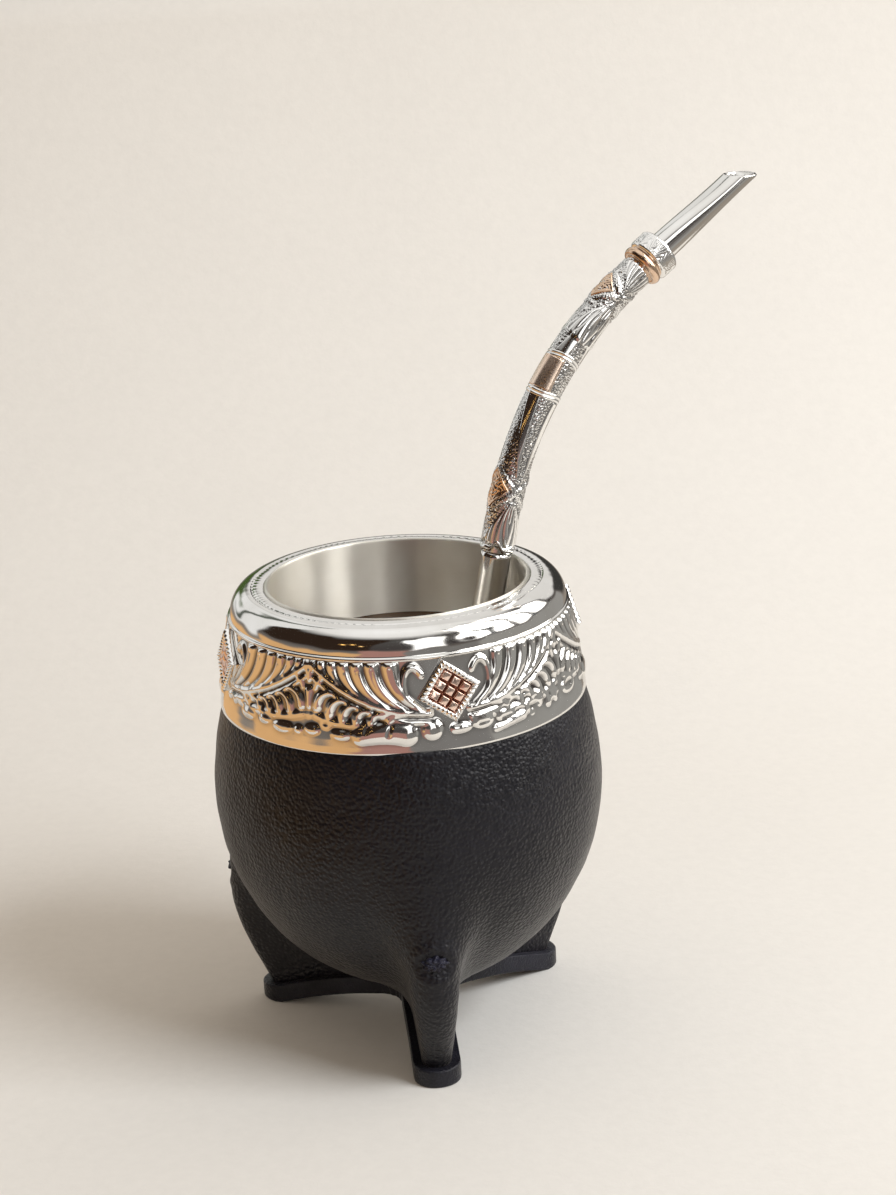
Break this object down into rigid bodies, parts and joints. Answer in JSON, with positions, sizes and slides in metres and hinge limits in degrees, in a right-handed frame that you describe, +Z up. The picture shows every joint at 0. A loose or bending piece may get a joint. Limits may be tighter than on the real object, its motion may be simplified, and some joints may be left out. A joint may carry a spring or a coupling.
{
  "type": "mate gourd drink with metal straw",
  "caption": "Leather-covered mate gourd on leather legs with an embossed metal collar, filled with a dark drink, and a curved chased metal straw standing in it.",
  "frame": {"origin": "on the table, under the middle of the whole object's box; the gourd's own axis stands 20.8 mm towards -X and 1.3 mm towards +Y of it, because the straw reaches out to one side", "axes": "+Z is up; the single front foot points towards -Y, and the straw leans out towards +X and +Y, 25 degrees from +X"},
  "size_m": [0.1268, 0.0866, 0.1785],
  "materials": {
    "leather": "black pebbled leather with a soft sheen",
    "leather_knot": "crinkled blue-black leather knot",
    "leather_sole": "black dyed sole leather, speckled top and smooth waxed edge",
    "collar_metal": "mirror-polished silver-coloured metal with embossed leaves",
    "liner_metal": "satin metal brushed round the mouth",
    "boss_silver": "polished beaded silver-coloured border",
    "copper": "polished pinkish copper",
    "bronze": "polished bronze",
    "straw_plain": "polished plain silver-coloured tube",
    "straw_chased": "polished tube chased with leaves, ropes and stippling",
    "drink": "dark brown wet drink"
  },
  "bodies": {
    "root": {"boss_frame_1": "boss_silver", "boss_frame_2": "boss_silver", "boss_frame_3": "boss_silver", "boss_frame_4": "boss_silver", "boss_tiles_1": "copper", "boss_tiles_2": "copper", "boss_tiles_3": "copper", "boss_tiles_4": "copper", "collar": "collar_metal", "drink": "drink", "leather_body": "leather", "leg_knot_1": "leather_knot", "leg_knot_2": "leather_knot", "leg_knot_3": "leather_knot", "liner": "liner_metal", "sole": "leather_sole", "straw_cuff": "straw_chased", "straw_field_high": "bronze", "straw_field_low": "bronze", "straw_lip": "bronze", "straw_mouthpiece": "straw_plain", "straw_panel": "copper", "straw_rib_high": "straw_chased", "straw_rib_low": "straw_chased", "straw_ring": "straw_chased", "straw_sleeve": "straw_chased", "straw_stem": "straw_plain"}
  },
  "joints": []
}
